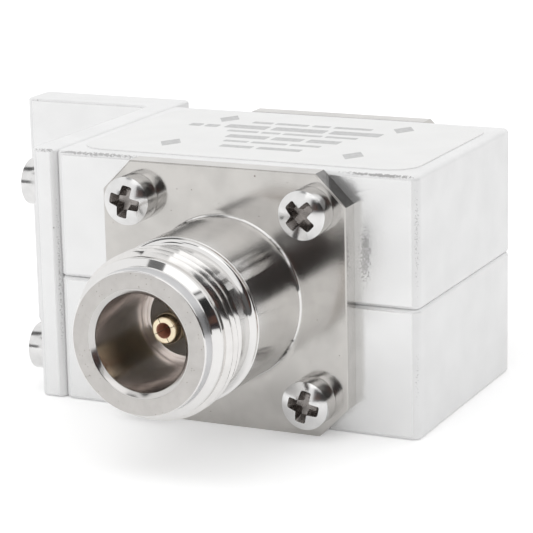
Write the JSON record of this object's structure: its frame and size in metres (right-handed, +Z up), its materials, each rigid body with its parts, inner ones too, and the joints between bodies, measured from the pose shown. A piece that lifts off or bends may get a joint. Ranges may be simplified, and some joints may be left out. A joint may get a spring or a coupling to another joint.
{
  "type": "coax lightning arrestor",
  "caption": "In-line coax surge protector: split metal box with a threaded coax jack at each end, gas tube inside and an L-shaped mounting bracket.",
  "frame": {"origin": "under the middle of the overall length and depth, at the height of the flat base", "axes": "+Y along the coax line from the equipment jack to the antenna jack, +Z up, the bracket on the -X side"},
  "size_m": [0.056, 0.064, 0.0255],
  "materials": {
    "housing": "bead blasted, bright plated, satin",
    "bracket": "bead blasted, bright plated, satin",
    "nickel_jack": "nickel plated brass, turned and polished",
    "gold_contact": "gold plated",
    "steel_screw": "bright nickel plated steel",
    "ptfe": "white PTFE",
    "seal_rubber": "black silicone rubber",
    "label_plate": "matte light grey film",
    "brass_bar": "bare brass",
    "ceramic_blue": "glazed disc ceramic",
    "silver_face": "fired silver",
    "ceramic_white": "white alumina",
    "tube_metal": "nickel plated iron alloy",
    "pad_rubber": "light grey silicone rubber",
    "copper_wire": "enamelled copper wire"
  },
  "bodies": {
    "root": {"upper_housing": "housing", "lower_housing": "housing", "mounting_bracket": "bracket", "bracket_screws": "steel_screw", "housing_screws": "steel_screw", "housing_dowels": "steel_screw", "top_label": "label_plate", "equipment_connector": "nickel_jack", "equipment_insulator": "ptfe", "equipment_contact": "gold_contact", "equipment_o_ring": "seal_rubber", "equipment_flange_screws": "steel_screw", "antenna_connector": "nickel_jack", "antenna_insulator": "ptfe", "antenna_contact": "gold_contact", "antenna_o_ring": "seal_rubber", "antenna_flange_screws": "steel_screw", "equipment_line_bar": "brass_bar", "antenna_line_bar": "brass_bar", "capacitor_disc": "ceramic_blue", "capacitor_electrodes": "silver_face", "gas_tube_ceramic": "ceramic_white", "gas_tube_lower_electrode": "tube_metal", "gas_tube_upper_electrode": "tube_metal", "gas_tube_contact_disc": "brass_bar", "gas_tube_press_pad": "pad_rubber", "line_support_block": "ptfe", "drain_coil": "copper_wire", "ground_post": "brass_bar"}
  },
  "joints": []
}
